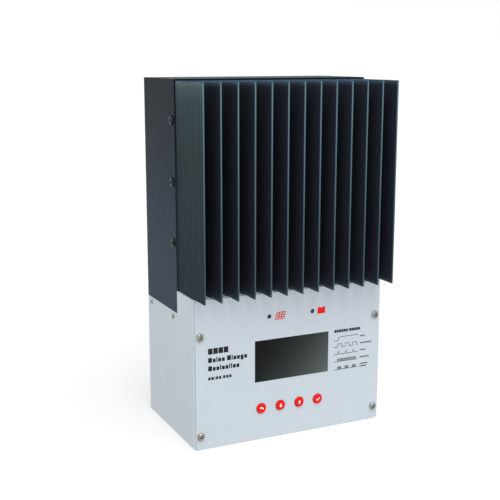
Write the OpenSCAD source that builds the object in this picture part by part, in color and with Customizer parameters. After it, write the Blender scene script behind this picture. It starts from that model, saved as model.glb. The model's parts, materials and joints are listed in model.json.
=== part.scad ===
// Wall-mounted solar charge controller.
// Black sheet-steel rear chassis, finned aluminium heat sink across the upper front,
// pale sheet-steel wiring housing below it with a flat cover, display and four push buttons.
// Millimetres. +Z is up, the front faces -Y, the origin is at the centre of the base.

/* [Enclosure] */
// Width over the sheet-metal sides
body_width = 194; // [170:1:220]
// Height over everything
body_height = 330; // [300:1:380]
// Depth of the black rear chassis, from the wall to the seam
chassis_depth = 78; // [60:1:95]
// Depth of the pale housing, from the wall to the cover's outer face
housing_depth = 117; // [100:1:130]
// Sheet thickness of chassis, housing and cover
sheet = 1.5; // [1:0.1:2.5]
// Height of the chassis' lower edge above the base
chassis_floor = 119.5; // [100:0.5:135]
// Height of the housing's top shelf
housing_top = 140.3; // [130:0.1:150]

/* [Heat sink] */
// Depth from the wall to the fin tips
sink_reach = 139; // [120:1:160]
// Width over the outermost fins
sink_width = 192; // [168:1:218]
// Number of fins
fin_count = 13; // [7:1:17]
// Fin thickness over the ribs
fin_thickness = 2.2; // [1.6:0.1:4]
// Depth of the fine ribs on the fin sides
rib_depth = 0.4; // [0.1:0.05:0.6]
// Ribs on each side of a fin
rib_count = 12; // [6:1:30]
// Thickness of the base plate the fins grow from
sink_base = 12; // [8:0.5:16]

/* [Front cover] */
// Display window width
window_width = 77; // [60:0.5:90]
// Display window height
window_height = 39.5; // [30:0.5:50]
// Height of the window's centre above the base
window_z = 75.8; // [60:0.1:90]
// Push button diameter
button_d = 9.4; // [7:0.1:12]
// Distance between neighbouring buttons
button_pitch = 19.8; // [15:0.1:25]
// Height of the button row above the base
button_z = 30.5; // [22:0.5:40]
// Button travel
button_travel = 0.5; // [0.2:0.1:1]
// Sideways distance from the centre to each status lamp
lamp_x = 22.4; // [15:0.1:35]

/* [Fixings] */
// Sideways distance between the two wall screws of a row
wall_pitch = 140; // [100:1:160]
// Diameter of the lower wall holes
wall_hole_d = 6.5; // [5:0.5:8]
// Diameter of the cable knockouts in the housing sides
side_knockout_d = 44; // [28:1:50]
// Diameter of the cable knockouts in the housing floor
floor_knockout_d = 28.6; // [20:0.1:35]

/* [Hidden] */
$fn = 48;
fit_gap = 0.2;
y_back = sink_reach / 2;
half_width = body_width / 2;
wall_in = half_width - sheet;
seat = housing_depth - sheet;
sink_rear = chassis_depth - sink_base;
sink_floor = housing_top + 0.7;
sink_top = body_height - sheet - fit_gap;
m3_r = 1.5;
m4_r = 2;
m4_clear = 2.25;
m3_head_r = 2.9;
m3_head_h = 2;
head_h = 2.4;
black = [0.13, 0.14, 0.16];
anodised = [0.16, 0.21, 0.23];
pale = [0.80, 0.83, 0.87];
steel = [0.75, 0.76, 0.78];
copper = [0.78, 0.45, 0.25];
board_green = [0.06, 0.32, 0.17];

// Side screws of the heat sink
sink_screw_z = [184, 239, 294];
sink_screw_depth = chassis_depth - sink_base / 2;
sink_screw_r = 3.9;

// Tabs inside the chassis, and the screws joining the housing to them
tab_sheet = 1.5;
tab_z = 106;
tab_screw_z = 114;
tab_screw_depths = [10, 68];

// Cover screws
cover_screw_x = 91;
cover_screw_z = [13, 106];
cover_half = wall_in - fit_gap;
cover_floor = 0.7;
cover_corner = 3;
flange = 12;

// Display stack, as distances from the wall
window_x = 1.5;
display_rear = 100.4;
display_front = 102;
display_half = 68;
display_floor = 18;
display_top = 127;
spacer_x = 62;
spacer_z = [23, 122];
lamp_z = 117.2;
bezel_w = 92;
bezel_h = 54;
bezel_front = 112;
cell_w = 88;
cell_h = 50;
cell_depth = 2;
cell_rear = 108.8;
lens_flange = 3;
button_x0 = -0.8 - 1.5 * button_pitch;
cap_front = 118.3;
cap_rear = 106.6;
ribbon_x = 56;
ribbon_w = 20;
ribbon_low = 104;
ribbon_high = 163;
plug_depth = 8.4;

// Power board, behind the heat sink base
board_half = 84;
board_z = [155, 315];
board_rear = 46;
board_front = 47.6;
board_spacer_x = 78;
board_spacer_z = [161, 309];
transistor_x = [-64, -32, 0, 32, 64];
lower_row = 172;
upper_row = 283;
case_h = 15;
case_depth = 4.5;
lead_z = [168, 302];
clamp_x = [-48, -16, 16, 48];
clamp_z = [180, 290];
pad = 0.5;
clamp_depth = 3;
clamp_rear = sink_rear - pad - case_depth - clamp_depth;
capacitor_x = [-66, -44, -22, 0, 22, 44];
inductor_x = [-45, 17];
inductor_z = 236;
core_outer = 24;
core_inner = 13;
core_depth = 20;
core_rear = 23;
turn_count = 16;
shunt_x = [-32, 6];
fuse_x = [48, 72];
fuse_z = 190;
fuse_w = 19;
fuse_thick = 5;
busbar_screw_high = 160;

// Wiring compartment
terminal_rear = 12;
terminal_front = 13.6;
terminal_z = [44, 104];
terminal_half = 80;
terminal_screw_x = [-74, 74];
terminal_screw_z = [50, 98];
block_x = -10;
block_w = 120;
block_z = 48;
block_h = 32;
block_d = 28;
cell_pitch = 20;
clamp_back = 20.2;
clamp_d = 13.6;
clamp_h = 22.5;
clamp_screw_z = 64;
busbar_cells = [0, 2, 3, 5];
busbar_w = 12;
busbar_screw_low = 92;
stud_z = 25;

// A block centred on x, its rear face `back` in front of the wall, standing on height z.
module block(x, back, z, w, d, h) {
  translate([x - w / 2, y_back - back - d, z])
    cube([w, d, h]);
}

// A round bar pointing forward from distance `back`.
module bar_forward(x, back, z, r, length) {
  translate([x, y_back - back, z])
    rotate([90, 0, 0])
      cylinder(r = r, h = length);
}

// A round bar pointing along +X from x.
module bar_across(x, back, z, r, length) {
  translate([x, y_back - back, z])
    rotate([0, 90, 0])
      cylinder(r = r, h = length);
}

// A round bar standing up from height z.
module bar_up(x, back, z, r, length) {
  translate([x, y_back - back, z])
    cylinder(r = r, h = length);
}

// A six-sided spacer pointing forward, with a threaded hole right through.
module hex_spacer(x, back, z, across, length, hole_r) {
  difference() {
    translate([x, y_back - back, z])
      rotate([90, 0, 0])
        cylinder(d = across / cos(30), h = length, $fn = 6);
    bar_forward(x, back - 1, z, hole_r, length + 2);
  }
}

// Pan-head screw at the local origin: head in +Z, shank in -Z, cross recess in the head.
module pan_screw(head_r, head_height, shank_r, length) {
  recess = head_r * 0.22;
  difference() {
    union() {
      rotate_extrude()
        polygon([[0, 0], [head_r, 0], [head_r, head_height * 0.45], [head_r * 0.8, head_height * 0.85],
          [head_r * 0.45, head_height], [0, head_height]]);
      translate([0, 0, -length])
        cylinder(r = shank_r, h = length + 0.1);
    }
    translate([-head_r * 0.6, -recess / 2, head_height * 0.4])
      cube([head_r * 1.2, recess, head_height]);
    translate([-recess / 2, -head_r * 0.6, head_height * 0.4])
      cube([recess, head_r * 1.2, head_height]);
  }
}

// The screw with its head's underside at distance `back`, entering from the front.
module screw_from_front(x, back, z, head_r, head_height, shank_r, length) {
  translate([x, y_back - back, z])
    rotate([90, 0, 0])
      pan_screw(head_r, head_height, shank_r, length);
}

// The screw with its head's underside at distance `back`, entering from the rear.
module screw_from_rear(x, back, z, head_r, head_height, shank_r, length) {
  translate([x, y_back - back, z])
    rotate([-90, 0, 0])
      pan_screw(head_r, head_height, shank_r, length);
}

// The screw entering a side panel; side is -1 for the left and 1 for the right.
module screw_from_side(side, back, z, head_r, head_height, shank_r, length) {
  translate([side * half_width, y_back - back, z])
    rotate([0, side * 90, 0])
      pan_screw(head_r, head_height, shank_r, length);
}

// Ring groove left by a partly sheared cable knockout; its axis is the local Z.
module knockout_groove(d) {
  groove = 0.9;
  bite = 0.5;
  difference() {
    translate([0, 0, -bite])
      cylinder(d = d, h = 2 * bite);
    translate([0, 0, -2 * bite])
      cylinder(d = d - 2 * groove, h = 4 * bite);
  }
}

// ---- enclosure ----

module keyhole(x) {
  entry_r = 5.5;
  rise = 10;
  z = 290;
  slot_r = wall_hole_d / 2;
  bar_forward(x, -1, z, entry_r, sheet + 2);
  bar_forward(x, -1, z + rise, slot_r, sheet + 2);
  block(x, -1, z, 2 * slot_r, sheet + 2, rise);
}

// One side of the chassis, with the tab inside it that the housing is screwed to.
module chassis_side(side) {
  lap = 7.5;
  tab_start = 3;
  tab_depth = 70;
  tab_thin = tab_sheet - fit_gap;
  block(side * (half_width - sheet / 2), 0, chassis_floor, sheet, chassis_depth, body_height - chassis_floor);
  block(side * (wall_in - fit_gap - tab_thin / 2), tab_start, tab_z, tab_thin, tab_depth,
    chassis_floor + lap - tab_z);
  block(side * (wall_in - tab_sheet / 2), tab_start, chassis_floor + fit_gap, tab_sheet, tab_depth,
    lap - fit_gap);
}

module rear_chassis() {
  color(black)
    difference() {
      union() {
        block(0, 0, chassis_floor, body_width, sheet, body_height - chassis_floor);
        rounded_plate(0, 0, 0, 2 * cover_half, sheet, chassis_floor + 2 * cover_corner, cover_corner);
        block(0, 0, body_height - sheet, body_width, chassis_depth, sheet);
        for (side = [-1, 1])
          chassis_side(side);
      }
      for (side = [-1, 1]) {
        keyhole(side * wall_pitch / 2);
        bar_forward(side * wall_pitch / 2, -1, stud_z, wall_hole_d / 2, sheet + 2);
        for (z = sink_screw_z)
          bar_across(side * (half_width - sheet / 2) - sheet, sink_screw_depth, z, m4_clear, 2 * sheet);
        for (back = tab_screw_depths)
          bar_across(side * (wall_in - tab_sheet) - tab_sheet, back, tab_screw_z, m3_r + 0.1, 2 * tab_sheet);
      }
      bar_forward(0, -1, stud_z, 3.1, sheet + 2);
    }
}

// One fin's outline in plan: root at the origin, growing toward -Y, ribbed on both sides.
function fin_side(half, reach) =
  [for (i = [0:2 * rib_count]) [half - (i % 2 == 0 ? rib_depth : 0), -i * reach / (2 * rib_count)]];

function reversed(points) =
  [for (i = [len(points) - 1:-1:0]) points[i]];

module fin(x, height) {
  root = 1;
  tip = 1.4;
  reach = sink_reach - chassis_depth - tip;
  side = fin_side(fin_thickness / 2, reach);
  other = reversed([for (p = side) [-p[0], p[1]]]);
  end = [[0.7, -reach - tip], [-0.7, -reach - tip]];
  start = [[-fin_thickness / 2, root], [fin_thickness / 2, root]];
  translate([x, y_back - chassis_depth, sink_floor])
    linear_extrude(height)
      polygon(concat(side, end, other, start));
}

module heat_sink() {
  height = sink_top - sink_floor;
  notch_start = 92;
  notch_length = 20;
  notch_bite = 1.2;
  first = -(sink_width - fin_thickness) / 2;
  pitch = (sink_width - fin_thickness) / (fin_count - 1);
  screw_bore = 14;
  rebate = 2;
  color(anodised)
    difference() {
      union() {
        block(0, sink_rear, sink_floor, 2 * cover_half, sink_base, height);
        for (i = [0:fin_count - 1])
          fin(first + i * pitch, height);
      }
      block(first, notch_start, sink_top - notch_bite, 2 * fin_thickness, notch_length, 2 * notch_bite);
      for (side = [-1, 1])
        block(side * (cover_half + rebate), sink_rear, sink_floor - 1, 2 * rebate, sink_base, height + 2);
      for (side = [-1, 1], z = sink_screw_z)
        bar_across(side * (cover_half - screw_bore / 2) - screw_bore / 2 - 0.5, sink_screw_depth, z,
          m4_r + 0.05, screw_bore + 1);
      for (x = clamp_x, z = clamp_z)
        bar_forward(x, sink_rear - 1, z, m3_r + 0.05, 9);
      for (side = [-1, 1], z = board_spacer_z)
        bar_forward(side * board_spacer_x, sink_rear - 1, z, m3_r + 0.05, 9);
    }
}

module housing_side(side) {
  front_length = seat - chassis_depth - fit_gap;
  block(side * (half_width - sheet / 2), 0, 0, sheet, seat, chassis_floor - fit_gap);
  block(side * (half_width - sheet / 2), chassis_depth + fit_gap, 0, sheet, front_length, housing_top);
  block(side * (wall_in - flange / 2), seat - sheet, sheet, flange + 0.1, sheet, housing_top - sheet);
}

// Everything inside the folded outline, whose lower side bends are rounded.
module housing_outline() {
  rounded_plate(0, 0, 0, body_width, seat, housing_top + 2 * cover_corner, cover_corner);
}

module lower_housing() {
  knock_depth = 34;
  knock_z = 57.5;
  shelf_rear = sink_rear + 1;
  color(pale)
    difference() {
      intersection() {
        housing_outline();
        union() {
          for (side = [-1, 1])
            housing_side(side);
          block(0, sheet + fit_gap, 0, body_width, seat - sheet - fit_gap, sheet);
          block(0, seat - sheet, sheet - 0.1, 2 * wall_in, sheet, flange);
          block(0, seat - sheet, housing_top - flange, 2 * wall_in, sheet, flange);
          block(0, chassis_depth + fit_gap, housing_top - sheet, body_width,
            seat - chassis_depth - fit_gap, sheet);
          block(0, shelf_rear, housing_top - sheet, 2 * (cover_half - 0.1), seat - shelf_rear, sheet);
        }
      }
      for (side = [-1, 1]) {
        translate([side * half_width, y_back - knock_depth, knock_z])
          rotate([0, 90, 0]) {
            knockout_groove(side_knockout_d);
            knockout_groove(floor_knockout_d);
          }
        for (back = tab_screw_depths)
          bar_across(side * (half_width - sheet / 2) - sheet, back, tab_screw_z, m3_r + fit_gap, 2 * sheet);
        for (z = cover_screw_z)
          bar_forward(side * cover_screw_x, seat - 2 * sheet, z, m4_r + 0.1, 3 * sheet);
      }
      for (x = [-55, 0, 55])
        translate([x, y_back - 60, 0])
          knockout_groove(floor_knockout_d);
    }
}

// A flat plate with true round corners, its rear face at distance `back`.
module rounded_plate(x, back, z, w, d, h, r) {
  block(x, back, z + r, w, d, h - 2 * r);
  block(x, back, z, w - 2 * r, d, h);
  for (sx = [-1, 1], pz = [z + r, z + h - r])
    bar_forward(x + sx * (w / 2 - r), back, pz, r, d);
}

module front_cover() {
  color(pale)
    difference() {
      rounded_plate(0, seat, cover_floor, 2 * cover_half, sheet, housing_top - 2 * cover_floor, cover_corner);
      block(window_x, seat - 1, window_z - window_height / 2, window_width, sheet + 2, window_height);
      for (i = [0:3])
        bar_forward(button_x0 + i * button_pitch, seat - 1, button_z, button_d / 2 + 0.3, sheet + 2);
      for (side = [-1, 1]) {
        bar_forward(side * lamp_x, seat - 1, lamp_z, 2.1, sheet + 2);
        for (z = cover_screw_z)
          bar_forward(side * cover_screw_x, seat - 1, z, m4_clear, sheet + 2);
      }
    }
}

module display_lens() {
  front_w = window_width - 0.4;
  front_h = window_height - 0.4;
  back_w = window_width + 2 * lens_flange;
  back_h = window_height + 2 * lens_flange;
  color([0.15, 0.18, 0.19, 0.8]) {
    block(window_x, seat - sheet, window_z - back_h / 2, back_w, sheet, back_h);
    block(window_x, seat - 0.1, window_z - front_h / 2, front_w, sheet - 0.1, front_h);
  }
}

module lens_gasket() {
  outer_w = window_width + 2 * lens_flange;
  outer_h = window_height + 2 * lens_flange;
  depth = seat - sheet - bezel_front;
  color([0.1, 0.1, 0.1])
    difference() {
      block(window_x, bezel_front, window_z - outer_h / 2, outer_w, depth, outer_h);
      block(window_x, bezel_front - 1, window_z - window_height / 2, window_width, depth + 2, window_height);
    }
}

module cover_screws() {
  color(steel)
    for (side = [-1, 1], z = cover_screw_z)
      screw_from_front(side * cover_screw_x, housing_depth, z, 3.5, head_h, m4_r, 7);
}

module cover_nuts() {
  nut_h = 2.8;
  color(steel)
    for (side = [-1, 1], z = cover_screw_z)
      difference() {
        bar_forward(side * cover_screw_x, seat - sheet - nut_h, z, 3.6, nut_h);
        bar_forward(side * cover_screw_x, seat - sheet - nut_h - 1, z, m4_r + 0.05, nut_h + 2);
      }
}

module sink_screws() {
  color(black)
    for (side = [-1, 1], z = sink_screw_z)
      screw_from_side(side, sink_screw_depth, z, sink_screw_r, head_h, m4_r, 12);
}

module housing_screws() {
  color(steel)
    for (side = [-1, 1], back = tab_screw_depths)
      screw_from_side(side, back, tab_screw_z, 2.4, 1.2, m3_r, 7);
}

module housing_nuts() {
  nut_h = 2.4;
  inner = wall_in - tab_sheet;
  color(steel)
    for (side = [-1, 1], back = tab_screw_depths)
      difference() {
        bar_across(side * (inner - nut_h / 2) - nut_h / 2, back, tab_screw_z, 3, nut_h);
        bar_across(side * (inner - nut_h / 2) - nut_h, back, tab_screw_z, m3_r + 0.05, 2 * nut_h);
      }
}

// ---- display and buttons ----

module display_board() {
  color(board_green)
    difference() {
      block(0, display_rear, display_floor, 2 * display_half, display_front - display_rear,
        display_top - display_floor);
      for (side = [-1, 1], z = spacer_z)
        bar_forward(side * spacer_x, display_rear - 1, z, m3_r + 0.1, 4);
    }
}

module display_bezel() {
  depth = bezel_front - display_front;
  skin = 1;
  color(steel)
    difference() {
      block(window_x, display_front, window_z - bezel_h / 2, bezel_w, depth, bezel_h);
      block(window_x, display_front - 1, window_z - bezel_h / 2 + skin, bezel_w - 2 * skin, depth,
        bezel_h - 2 * skin);
      block(window_x, display_front, window_z - window_height / 2, window_width, depth + 1, window_height);
    }
}

module display_cell() {
  color([0.45, 0.5, 0.45])
    block(window_x, cell_rear, window_z - cell_h / 2, cell_w, cell_depth, cell_h);
}

module display_backlight() {
  depth = 5.6;
  color([0.9, 0.92, 0.9])
    block(window_x, cell_rear - fit_gap - depth, window_z - cell_h / 2, cell_w, depth, cell_h);
}

module display_spacers() {
  color([0.8, 0.65, 0.3])
    for (side = [-1, 1], z = spacer_z)
      hex_spacer(side * spacer_x, display_front, z, 6, seat - display_front, m3_r + 0.05);
}

module display_screws() {
  color(steel)
    for (side = [-1, 1], z = spacer_z)
      screw_from_rear(side * spacer_x, display_rear, z, m3_head_r, m3_head_h, m3_r, 8);
}

module status_lamps() {
  r = 1.9;
  rear = 109;
  color([0.1, 0.12, 0.1])
    for (side = [-1, 1])
      translate([side * lamp_x, y_back - rear, lamp_z])
        rotate([90, 0, 0])
          rotate_extrude()
            polygon([[0, 0], [r + 0.4, 0], [r + 0.4, 1], [r, 1], [r, 6.8], [r * 0.75, 7.6], [0, 8]]);
}

module lamp_spacers() {
  color([0.9, 0.9, 0.88])
    for (side = [-1, 1])
      difference() {
        bar_forward(side * lamp_x, display_front, lamp_z, 3, 6.9);
        bar_forward(side * lamp_x, display_front - 1, lamp_z, 1, 9);
      }
}

module switch_bodies() {
  body_w = 6.2;
  rise = 3.6;
  color([0.12, 0.12, 0.12])
    for (i = [0:3])
      difference() {
        block(button_x0 + i * button_pitch, display_front, button_z - body_w / 2, body_w, rise, body_w);
        bar_forward(button_x0 + i * button_pitch, display_front + 0.6, button_z, 2, rise);
      }
}

// Round cap with a retaining collar behind the cover and a stem down to its switch.
module button_cap(index) {
  collar_rear = seat - 2;
  length = cap_front - collar_rear;
  r = button_d / 2;
  color([0.82, 0.1, 0.1])
    translate([button_x0 + index * button_pitch, y_back - cap_rear, button_z])
      rotate([90, 0, 0])
        rotate_extrude()
          polygon([[0, 0], [1.9, 0], [1.9, collar_rear - cap_rear], [r + 1, collar_rear - cap_rear],
            [r + 1, collar_rear - cap_rear + 1.6], [r, collar_rear - cap_rear + 1.6],
            [r, collar_rear - cap_rear + length - 0.5], [r - 0.5, cap_front - cap_rear],
            [0, cap_front - cap_rear]]);
}

module switch_plunger(index) {
  rear = 103.6;
  color([0.25, 0.25, 0.27])
    bar_forward(button_x0 + index * button_pitch, rear, button_z, 1.75, cap_rear - rear);
}

module button_back() {
  button_cap(0);
}

module button_down() {
  button_cap(1);
}

module button_up() {
  button_cap(2);
}

module button_set() {
  button_cap(3);
}

module plunger_back() {
  switch_plunger(0);
}

module plunger_down() {
  switch_plunger(1);
}

module plunger_up() {
  switch_plunger(2);
}

module plunger_set() {
  switch_plunger(3);
}

module display_plug() {
  height = 8;
  color([0.15, 0.15, 0.16])
    block(ribbon_x, display_rear - plug_depth, ribbon_low - height / 2, ribbon_w + 2, plug_depth, height);
}

module board_plug() {
  height = 6;
  color([0.15, 0.15, 0.16])
    block(ribbon_x, board_front, ribbon_high - height, ribbon_w + 2, plug_depth, height);
}

// Runs back from the display board, then up behind the heat sink to the power board.
module ribbon_cable() {
  thick = 1;
  near = board_front + plug_depth;
  far = display_rear - plug_depth;
  floor_z = ribbon_low - thick / 2;
  color([0.6, 0.6, 0.62]) {
    block(ribbon_x, near, floor_z, ribbon_w, far - near, thick);
    block(ribbon_x, near, floor_z, ribbon_w, thick, ribbon_high - floor_z);
  }
}

// ---- power stage ----

module power_board() {
  color(board_green)
    difference() {
      block(0, board_rear, board_z[0], 2 * board_half, board_front - board_rear, board_z[1] - board_z[0]);
      for (side = [-1, 1], z = board_spacer_z)
        bar_forward(side * board_spacer_x, board_rear - 1, z, m3_r + 0.1, 4);
      for (x = transistor_x, z = lead_z)
        block(x, board_rear - 1, z - 1.2, 9, 4, 2.4);
      for (i = busbar_cells)
        bar_forward(cell_x(i), board_rear - 1, busbar_screw_high, m4_clear, 4);
    }
}

module board_spacers() {
  color([0.8, 0.65, 0.3])
    for (side = [-1, 1], z = board_spacer_z)
      hex_spacer(side * board_spacer_x, board_front, z, 6, sink_rear - board_front, m3_r + 0.05);
}

module board_screws() {
  color(steel)
    for (side = [-1, 1], z = board_spacer_z)
      screw_from_rear(side * board_spacer_x, board_rear, z, m3_head_r, m3_head_h, m3_r, 10);
}

module transistor_cases() {
  color([0.1, 0.1, 0.11])
    for (x = transistor_x, z = [lower_row, upper_row])
      block(x, sink_rear - pad - case_depth, z, 10, case_depth, case_h);
}

// Three leads to a case, each bent back through the board.
module transistor_leads() {
  lead = 0.8;
  rear = sink_rear - 4;
  tail = board_rear - 2;
  low = lead_z[0] - lead / 2;
  high = lead_z[1] - lead / 2;
  color([0.8, 0.8, 0.8])
    for (x = transistor_x, p = [-2.5, 0, 2.5]) {
      block(x + p, rear, low, lead, lead, lower_row - low);
      block(x + p, tail, low, lead, rear - tail + lead, lead);
      block(x + p, rear, upper_row + case_h, lead, lead, high + lead - upper_row - case_h);
      block(x + p, tail, high, lead, rear - tail + lead, lead);
    }
}

module thermal_pads() {
  color([0.55, 0.62, 0.7])
    for (z = clamp_z)
      difference() {
        block(0, sink_rear - pad, z - 10, 152, pad, 20);
        for (x = clamp_x)
          bar_forward(x, sink_rear - 1, z, m3_r + fit_gap, 2);
      }
}

module clamp_bars() {
  color(steel)
    for (z = clamp_z)
      difference() {
        block(0, clamp_rear, z - 4, 150, clamp_depth, 8);
        for (x = clamp_x)
          bar_forward(x, clamp_rear - 1, z, m3_r + fit_gap, clamp_depth + 2);
      }
}

module clamp_screws() {
  color(steel)
    for (x = clamp_x, z = clamp_z)
      screw_from_rear(x, clamp_rear, z, m3_head_r, m3_head_h, m3_r, 14);
}

module inductor_cores() {
  color([0.35, 0.38, 0.3])
    for (x = inductor_x)
      difference() {
        bar_forward(x, core_rear, inductor_z, core_outer, core_depth);
        bar_forward(x, core_rear - 1, inductor_z, core_inner, core_depth + 2);
      }
}

// One flat turn round a ring core centred on the origin, whose axis is Y.
module winding_turn(angle) {
  wire = 1.6;
  flat = 2.4;
  inner = core_inner - fit_gap;
  outer = core_outer + fit_gap;
  half = core_depth / 2 + fit_gap;
  rotate([0, angle, 0])
    difference() {
      translate([inner - wire, -half - wire, -flat / 2])
        cube([outer - inner + 2 * wire, 2 * (half + wire), flat]);
      translate([inner, -half, -flat])
        cube([outer - inner, 2 * half, 2 * flat]);
    }
}

module inductor_windings() {
  color(copper)
    for (x = inductor_x, i = [0:turn_count - 1])
      translate([x, y_back - core_rear - core_depth / 2, inductor_z])
        winding_turn((i + 0.5) * 360 / turn_count);
}

module capacitor_cans() {
  r = 9;
  length = 36;
  z = 284;
  color([0.12, 0.14, 0.3])
    for (x = capacitor_x)
      translate([x, y_back - board_rear, z])
        rotate([-90, 0, 0])
          rotate_extrude()
            polygon([[0, 0], [r - 0.6, 0], [r, 0.6], [r, 3], [r - 0.7, 4], [r, 5], [r, length - 0.8],
              [r - 0.8, length], [0, length]]);
}

// Bent strips standing on the board like low bridges.
module current_shunts() {
  strip = 1.2;
  span = 26;
  rise = 10;
  width = 8;
  z = 190;
  color(copper)
    for (x = shunt_x)
      difference() {
        block(x, board_rear - rise, z, span, rise, width);
        block(x, board_rear - rise + strip, z - 1, span - 2 * strip, rise, width + 2);
      }
}

module aux_transformer() {
  x = 66;
  z = 246;
  rise = 20;
  height = 22;
  color([0.2, 0.2, 0.22])
    difference() {
      block(x, board_rear - rise, z, 26, rise, height);
      block(x, board_rear - rise + 4, z - 1, 14, 5, height + 2);
    }
}

module control_chip() {
  z = 216;
  x = 66;
  pins = 8;
  side = 14;
  span = 17;
  pitch = 1.5;
  leg = 0.6;
  foot = 0.5;
  start = -(pins - 1) * pitch / 2;
  color([0.08, 0.08, 0.09]) {
    block(x, board_rear - 1.6, z - side / 2, side, 1.6, side);
    for (i = [0:pins - 1]) {
      block(x, board_rear - foot, z + start + i * pitch - leg / 2, span, foot, leg);
      block(x + start + i * pitch, board_rear - foot, z - span / 2, leg, foot, span);
    }
  }
}

module fuse_holders() {
  rise = 8;
  slot = fuse_w + 2 * fit_gap;
  color([0.1, 0.1, 0.1])
    for (x = fuse_x)
      difference() {
        block(x, board_rear - rise, fuse_z - 4, fuse_w + 2, rise, 8);
        block(x, board_rear - rise - 1, fuse_z - fuse_thick / 2 - fit_gap, slot, rise - 1,
          fuse_thick + 2 * fit_gap);
      }
}

module fuse_bodies() {
  rise = 18;
  color([0.85, 0.55, 0.1])
    for (x = fuse_x)
      block(x, board_rear - rise, fuse_z - fuse_thick / 2, fuse_w, rise - 2.2, fuse_thick);
}

// A small block bonded to the heat sink, with its lead sleeve.
module heat_sensor() {
  z = 233;
  height = 6;
  color([0.7, 0.7, 0.7]) {
    block(0, sink_rear - 3, z, 8, 3, height);
    bar_up(0, sink_rear - 1.5, z + height, 1.2, 6);
  }
}

// ---- wiring compartment ----

function cell_x(i) = block_x + (i - 2.5) * cell_pitch;

module terminal_board() {
  color(board_green)
    difference() {
      block(0, terminal_rear, terminal_z[0], 2 * terminal_half, terminal_front - terminal_rear,
        terminal_z[1] - terminal_z[0]);
      for (x = terminal_screw_x, z = terminal_screw_z)
        bar_forward(x, terminal_rear - 1, z, m3_r + 0.1, 4);
      for (i = busbar_cells)
        bar_forward(cell_x(i), terminal_rear - 1, busbar_screw_low, m4_clear, 4);
    }
}

module terminal_spacers() {
  color([0.8, 0.65, 0.3])
    for (x = terminal_screw_x, z = terminal_screw_z)
      hex_spacer(x, sheet, z, 6, terminal_rear - sheet, m3_r + 0.05);
}

module terminal_board_screws() {
  color(steel)
    for (x = terminal_screw_x, z = terminal_screw_z)
      screw_from_front(x, terminal_front, z, m3_head_r, m3_head_h, m3_r, 6);
}

module terminal_block() {
  color([0.12, 0.13, 0.14])
    difference() {
      block(block_x, terminal_front, block_z, block_w, block_d, block_h);
      for (i = [0:5]) {
        block(cell_x(i), clamp_back - fit_gap, block_z - 1, 13, clamp_d + 2 * fit_gap, block_h - 4);
        bar_forward(cell_x(i), clamp_back + clamp_d - 1, clamp_screw_z, 4.3, 10);
      }
      for (i = [0:4])
        block(cell_x(i) + cell_pitch / 2, terminal_front + block_d - 4.6, block_z - 1, 2, 5, block_h + 2);
    }
}

module terminal_clamps() {
  color([0.8, 0.75, 0.5])
    for (i = [0:5])
      difference() {
        block(cell_x(i), clamp_back, block_z + 4, 12.4, clamp_d, clamp_h);
        block(cell_x(i), clamp_back + 2.3, block_z + 3, 9, 9, clamp_h + 2);
        bar_forward(cell_x(i), clamp_back + 10, clamp_screw_z, 2.6, 6);
      }
}

module terminal_screws() {
  head_rear = clamp_back + clamp_d + 1.2;
  color(steel)
    for (i = [0:5])
      difference() {
        union() {
          bar_forward(cell_x(i), clamp_back + 6.8, clamp_screw_z, 2.5, 8.5);
          bar_forward(cell_x(i), head_rear, clamp_screw_z, 3.9, 4.5);
        }
        block(cell_x(i), head_rear + 3, clamp_screw_z - 0.6, 9, 2, 1.2);
      }
}

// Copper strips from the terminal board up to the power board.
module busbars() {
  bar = 2;
  foot_z = 84;
  bend_z = 148;
  head_z = 165;
  color(copper)
    for (i = busbar_cells)
      difference() {
        union() {
          block(cell_x(i), terminal_front, foot_z, busbar_w, bar, bend_z + bar - foot_z);
          block(cell_x(i), terminal_front, bend_z, busbar_w, board_rear - terminal_front, bar);
          block(cell_x(i), board_rear - bar, bend_z, busbar_w, bar, head_z - bend_z);
        }
        bar_forward(cell_x(i), terminal_front - 1, busbar_screw_low, m4_clear, 4);
        bar_forward(cell_x(i), board_rear - bar - 1, busbar_screw_high, m4_clear, 4);
      }
}

module busbar_screws() {
  color(steel)
    for (i = busbar_cells) {
      screw_from_front(cell_x(i), terminal_front + 2, busbar_screw_low, 3.9, head_h, m4_r, 7);
      screw_from_rear(cell_x(i), board_rear - 2, busbar_screw_high, 3.9, head_h, m4_r, 7);
    }
}

module signal_terminal() {
  x = 64;
  z = 56;
  pitch = 5;
  depth = 14;
  color([0.1, 0.5, 0.25])
    difference() {
      block(x, terminal_front, z, 22, depth, 12);
      for (i = [0:3]) {
        block(x + (i - 1.5) * pitch, terminal_front + 2.4, z - 1, 3.2, 6, 9);
        bar_forward(x + (i - 1.5) * pitch, terminal_front + 9, z + 6, 1.5, 6);
      }
    }
}

module ground_stud() {
  color([0.8, 0.65, 0.3]) {
    bar_forward(0, 0.3, stud_z, 3, 20);
    bar_forward(0, sheet, stud_z, 6, 2);
  }
}

module ground_nut() {
  color([0.8, 0.65, 0.3])
    hex_spacer(0, 8, stud_z, 10, 5, 3.05);
}

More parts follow.
